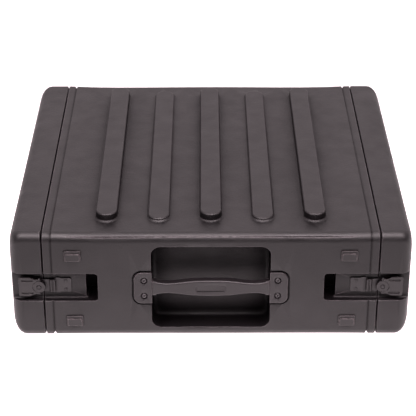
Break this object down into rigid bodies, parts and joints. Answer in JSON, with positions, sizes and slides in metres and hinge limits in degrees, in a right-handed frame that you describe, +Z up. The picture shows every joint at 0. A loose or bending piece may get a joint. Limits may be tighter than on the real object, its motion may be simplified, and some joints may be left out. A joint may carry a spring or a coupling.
{
  "type": "equipment rack case",
  "caption": "Moulded black rack case for 19-inch equipment, with ribbed roof, recessed side handles, folding twist latches and a lift-off lid at each end.",
  "frame": {"origin": "middle of the flat underside", "axes": "+X along the case from the front lid to the rear lid, +Y to the left side handle, +Z up"},
  "size_m": [0.614, 0.5732, 0.194],
  "materials": {
    "shell_plastic": "fine haircell texture, satin",
    "handle_plastic": "fine grain, satin",
    "bolt_cap": "smooth satin black",
    "latch_steel": "black powder coat, worn at edges",
    "rail_steel": "black e-coat",
    "black_screw": "black oxide",
    "zinc_steel": "zinc plated",
    "seal_rubber": "matte closed-cell rubber"
  },
  "bodies": {
    "root": {"body_shell": "shell_plastic", "left_handle": "handle_plastic", "right_handle": "handle_plastic", "handle_screws": "black_screw", "handle_backing_plates": "zinc_steel", "handle_nuts": "zinc_steel", "rail_bolts": "bolt_cap", "rail_nuts": "zinc_steel", "keeper_rivets": "latch_steel", "front_left_rack_rail": "rail_steel", "front_left_keeper": "latch_steel", "front_right_rack_rail": "rail_steel", "front_right_keeper": "latch_steel", "rear_left_rack_rail": "rail_steel", "rear_left_keeper": "latch_steel", "rear_right_rack_rail": "rail_steel", "rear_right_keeper": "latch_steel"},
    "front_left_rotor": {"front_left_latch_rotor": "latch_steel", "front_left_latch_washer": "zinc_steel"},
    "front_left_wing": {"front_left_latch_wing": "latch_steel", "front_left_latch_wing_pin": "zinc_steel"},
    "front_left_hook": {"front_left_latch_hook": "latch_steel"},
    "front_right_rotor": {"front_right_latch_rotor": "latch_steel", "front_right_latch_washer": "zinc_steel"},
    "front_right_wing": {"front_right_latch_wing": "latch_steel", "front_right_latch_wing_pin": "zinc_steel"},
    "front_right_hook": {"front_right_latch_hook": "latch_steel"},
    "front_lid": {"front_lid_shell": "shell_plastic", "front_lid_seal": "seal_rubber", "front_latch_rivets": "latch_steel", "front_left_latch_base": "latch_steel", "front_right_latch_base": "latch_steel"},
    "rear_left_rotor": {"rear_left_latch_rotor": "latch_steel", "rear_left_latch_washer": "zinc_steel"},
    "rear_left_wing": {"rear_left_latch_wing": "latch_steel", "rear_left_latch_wing_pin": "zinc_steel"},
    "rear_left_hook": {"rear_left_latch_hook": "latch_steel"},
    "rear_right_rotor": {"rear_right_latch_rotor": "latch_steel", "rear_right_latch_washer": "zinc_steel"},
    "rear_right_wing": {"rear_right_latch_wing": "latch_steel", "rear_right_latch_wing_pin": "zinc_steel"},
    "rear_right_hook": {"rear_right_latch_hook": "latch_steel"},
    "rear_lid": {"rear_lid_shell": "shell_plastic", "rear_lid_seal": "seal_rubber", "rear_latch_rivets": "latch_steel", "rear_left_latch_base": "latch_steel", "rear_right_latch_base": "latch_steel"}
  },
  "joints": [
    {"name": "front_left_latch_twist", "type": "hinge", "parent": "front_lid", "child": "front_left_rotor", "pos_m": [-0.2637, 0.2784, 0.08925], "axis": [0, 1, 0], "range_deg": [0, 180]},
    {"name": "front_left_wing_fold", "type": "hinge", "parent": "front_left_rotor", "child": "front_left_wing", "pos_m": [-0.2637, 0.2784, 0.08925], "axis": [0, 0, -1], "range_deg": [0, 90]},
    {"name": "front_left_hook_slide", "type": "slide", "parent": "front_lid", "child": "front_left_hook", "axis": [1, 0, 0], "range_m": [0, 0.006]},
    {"name": "front_right_latch_twist", "type": "hinge", "parent": "front_lid", "child": "front_right_rotor", "pos_m": [-0.2637, -0.2784, 0.08925], "axis": [0, 1, 0], "range_deg": [0, 180]},
    {"name": "front_right_wing_fold", "type": "hinge", "parent": "front_right_rotor", "child": "front_right_wing", "pos_m": [-0.2637, -0.2784, 0.08925], "axis": [0, 0, 1], "range_deg": [0, 90]},
    {"name": "front_right_hook_slide", "type": "slide", "parent": "front_lid", "child": "front_right_hook", "axis": [1, 0, 0], "range_m": [0, 0.006]},
    {"name": "front_lid_slide", "type": "slide", "parent": "root", "child": "front_lid", "axis": [-1, 0, 0], "range_m": [0, 0.12]},
    {"name": "rear_left_latch_twist", "type": "hinge", "parent": "rear_lid", "child": "rear_left_rotor", "pos_m": [0.2637, 0.2784, 0.08925], "axis": [0, -1, 0], "range_deg": [0, 180]},
    {"name": "rear_left_wing_fold", "type": "hinge", "parent": "rear_left_rotor", "child": "rear_left_wing", "pos_m": [0.2637, 0.2784, 0.08925], "axis": [0, 0, 1], "range_deg": [0, 90]},
    {"name": "rear_left_hook_slide", "type": "slide", "parent": "rear_lid", "child": "rear_left_hook", "axis": [-1, 0, 0], "range_m": [0, 0.006]},
    {"name": "rear_right_latch_twist", "type": "hinge", "parent": "rear_lid", "child": "rear_right_rotor", "pos_m": [0.2637, -0.2784, 0.08925], "axis": [0, -1, 0], "range_deg": [0, 180]},
    {"name": "rear_right_wing_fold", "type": "hinge", "parent": "rear_right_rotor", "child": "rear_right_wing", "pos_m": [0.2637, -0.2784, 0.08925], "axis": [0, 0, -1], "range_deg": [0, 90]},
    {"name": "rear_right_hook_slide", "type": "slide", "parent": "rear_lid", "child": "rear_right_hook", "axis": [-1, 0, 0], "range_m": [0, 0.006]},
    {"name": "rear_lid_slide", "type": "slide", "parent": "root", "child": "rear_lid", "axis": [1, 0, 0], "range_m": [0, 0.12]}
  ],
  "couplings": [
    {"joint": "front_left_wing_fold", "follows": "front_left_latch_twist", "ratio": 0.5},
    {"joint": "front_left_hook_slide", "follows": "front_left_latch_twist", "m_per_rad": 0.0019},
    {"joint": "front_right_wing_fold", "follows": "front_right_latch_twist", "ratio": 0.5},
    {"joint": "front_right_hook_slide", "follows": "front_right_latch_twist", "m_per_rad": 0.0019},
    {"joint": "rear_left_wing_fold", "follows": "rear_left_latch_twist", "ratio": 0.5},
    {"joint": "rear_left_hook_slide", "follows": "rear_left_latch_twist", "m_per_rad": 0.0019},
    {"joint": "rear_right_wing_fold", "follows": "rear_right_latch_twist", "ratio": 0.5},
    {"joint": "rear_right_hook_slide", "follows": "rear_right_latch_twist", "m_per_rad": 0.0019}
  ]
}
